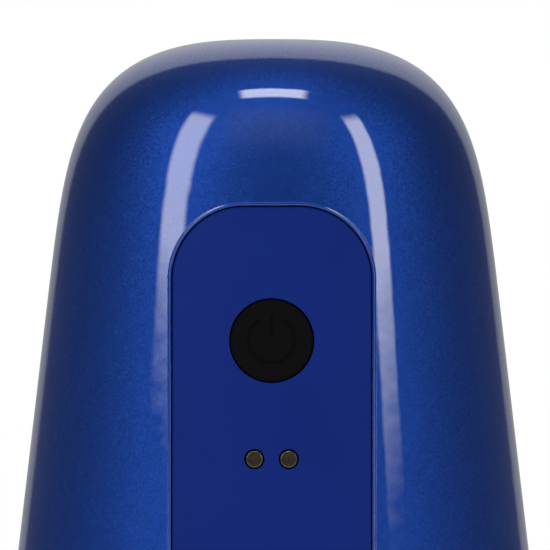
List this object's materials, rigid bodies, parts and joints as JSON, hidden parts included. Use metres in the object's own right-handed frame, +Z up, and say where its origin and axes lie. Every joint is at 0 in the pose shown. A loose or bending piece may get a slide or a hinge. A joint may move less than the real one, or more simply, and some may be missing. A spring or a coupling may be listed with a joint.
{
  "type": "electric stapler",
  "caption": "Upright cordless electric stapler with a domed metallic housing, front control panel, open paper slot and pull-out staple magazine.",
  "frame": {"origin": "on the table, under the middle of the housing", "axes": "+X to the right seen from the front, +Y to the back, away from the paper slot and the control panel, +Z up"},
  "size_m": [0.092, 0.136, 0.13],
  "materials": {
    "metallic_blue": "metallic blue paint under clear coat",
    "panel_blue": "satin blue",
    "base_black": "fine matte",
    "foot_rubber": "matte",
    "button_silicone": "matte",
    "latch_black": "satin",
    "contact_metal": "dark nickel",
    "magnet_nickel": "nickel",
    "plate_steel": "zinc plated",
    "turned_steel": "turned",
    "screw_steel": "black oxide",
    "spring_steel": "spring wire",
    "sheet_steel": "pressed sheet",
    "hard_steel": "hardened",
    "staple_wire": "galvanised wire",
    "gear_white": "acetal",
    "pinion_brass": "machined",
    "rotor_copper": "enamelled windings",
    "pusher_plastic": "satin",
    "board_green": "solder mask",
    "switch_black": "satin",
    "cell_wrap": "shrink wrap"
  },
  "bodies": {
    "chassis": {"anvil_block": "plate_steel", "anvil_plate": "plate_steel", "anvil_screws": "screw_steel", "axle_clips": "spring_steel", "base_housing": "base_black", "base_screws": "screw_steel", "battery_cells": "cell_wrap", "battery_holder": "base_black", "bottom_cover": "base_black", "camshaft_bushes": "pinion_brass", "charge_contacts": "contact_metal", "charge_magnets": "magnet_nickel", "circuit_components": "switch_black", "control_panel": "panel_blue", "front_shell": "metallic_blue", "gear_axles": "turned_steel", "home_switch": "switch_black", "housing_screws": "screw_steel", "left_side_plate": "plate_steel", "main_circuit_board": "board_green", "motor_can": "plate_steel", "motor_end_cap": "latch_black", "motor_screws": "screw_steel", "panel_circuit_board": "board_green", "panel_screws": "screw_steel", "paper_switch": "switch_black", "pivot_axle": "turned_steel", "plate_spacers": "turned_steel", "rear_shell": "metallic_blue", "return_spring": "spring_steel", "right_side_plate": "plate_steel", "rubber_feet": "foot_rubber", "slot_surround": "base_black", "spacer_screws": "screw_steel", "tact_switch": "switch_black"},
    "camshaft_group": {"camshaft": "turned_steel", "drive_cam": "hard_steel", "cam_gear": "gear_white"},
    "second_idler": {"second_idler_gear": "gear_white"},
    "first_idler": {"first_idler_gear": "gear_white"},
    "motor_rotor_group": {"motor_rotor": "rotor_copper", "motor_shaft": "turned_steel", "motor_pinion": "pinion_brass"},
    "lever": {"drive_lever": "sheet_steel", "roller_pin": "turned_steel"},
    "roller": {"cam_roller": "turned_steel"},
    "head": {"magazine_channel": "sheet_steel", "driver_guide": "sheet_steel"},
    "driver": {"driver_holder": "hard_steel", "driver_blade": "hard_steel"},
    "drawer": {"magazine_tray": "sheet_steel", "staple_rail": "sheet_steel", "staple_strip": "staple_wire", "magazine_cap": "panel_blue", "pusher_spring": "spring_steel"},
    "pusher": {"staple_pusher": "pusher_plastic"},
    "latch": {"magazine_latch": "latch_black"},
    "button": {"power_button": "button_silicone"},
    "paper_flag": {"paper_lever": "latch_black"},
    "fence": {"depth_fence": "latch_black"}
  },
  "joints": [
    {"name": "cam_turn", "type": "hinge", "parent": "chassis", "child": "camshaft_group", "pos_m": [0, -0.018, 0.0775], "axis": [1, 0, 0], "range_deg": [0, 170]},
    {"name": "second_idler_turn", "type": "hinge", "parent": "chassis", "child": "second_idler", "pos_m": [0, 0.00305, 0.08516], "axis": [1, 0, 0], "range_deg": [-625, 0]},
    {"name": "first_idler_turn", "type": "hinge", "parent": "chassis", "child": "first_idler", "pos_m": [0, 0.00013, 0.10171], "axis": [1, 0, 0], "range_deg": [0, 1871]},
    {"name": "motor_turn", "type": "hinge", "parent": "chassis", "child": "motor_rotor_group", "pos_m": [0, 0.01188, 0.10598], "axis": [1, 0, 0], "range_deg": [-7481, 0]},
    {"name": "lever_turn", "type": "hinge", "parent": "chassis", "child": "lever", "pos_m": [0, 0.012, 0.04], "axis": [1, 0, 0], "range_deg": [0, 13.11]},
    {"name": "roller_turn", "type": "hinge", "parent": "lever", "child": "roller", "pos_m": [0, -0.026, 0.066], "axis": [1, 0, 0], "continuous": true},
    {"name": "head_turn", "type": "hinge", "parent": "chassis", "child": "head", "pos_m": [0, 0.012, 0.04], "axis": [1, 0, 0], "range_deg": [0, 5.31]},
    {"name": "driver_slide", "type": "slide", "parent": "head", "child": "driver", "axis": [0, 0, -1], "range_m": [0, 0.00904]},
    {"name": "magazine_slide", "type": "slide", "parent": "head", "child": "drawer", "axis": [0, -1, 0], "range_m": [0, 0.05]},
    {"name": "pusher_slide", "type": "slide", "parent": "drawer", "child": "pusher", "axis": [0, 1, 0], "range_m": [0, 0.009], "stiffness_N_per_m": 40, "springref_m": -0.02, "deforming": ["pusher_spring"]},
    {"name": "latch_press", "type": "slide", "parent": "drawer", "child": "latch", "axis": [0, 1, 0], "range_m": [0, 0.002], "stiffness_N_per_m": 400, "springref_m": -0.002},
    {"name": "power_press", "type": "slide", "parent": "chassis", "child": "button", "axis": [0, 0.9949, -0.1013], "range_m": [0, 0.0008], "stiffness_N_per_m": 600, "springref_m": -0.0008},
    {"name": "paper_flag_turn", "type": "hinge", "parent": "chassis", "child": "paper_flag", "pos_m": [0.024, -0.0275, 0.014], "axis": [-1, 0, 0], "range_deg": [0, 20], "stiffness_Nm_per_rad": 0.003, "springref_deg": -17.19},
    {"name": "fence_slide", "type": "slide", "parent": "chassis", "child": "fence", "axis": [0, -1, 0], "range_m": [0, 0.012]}
  ],
  "couplings": [
    {"joint": "second_idler_turn", "follows": "cam_turn", "ratio": -3.6667},
    {"joint": "first_idler_turn", "follows": "cam_turn", "ratio": 11},
    {"joint": "motor_turn", "follows": "cam_turn", "ratio": -44},
    {"joint": "lever_turn", "follows": "cam_turn", "ratio": 0.077059},
    {"joint": "head_turn", "follows": "cam_turn", "ratio": 0.031176},
    {"joint": "driver_slide", "follows": "cam_turn", "m_per_rad": 0.0030416}
  ]
}
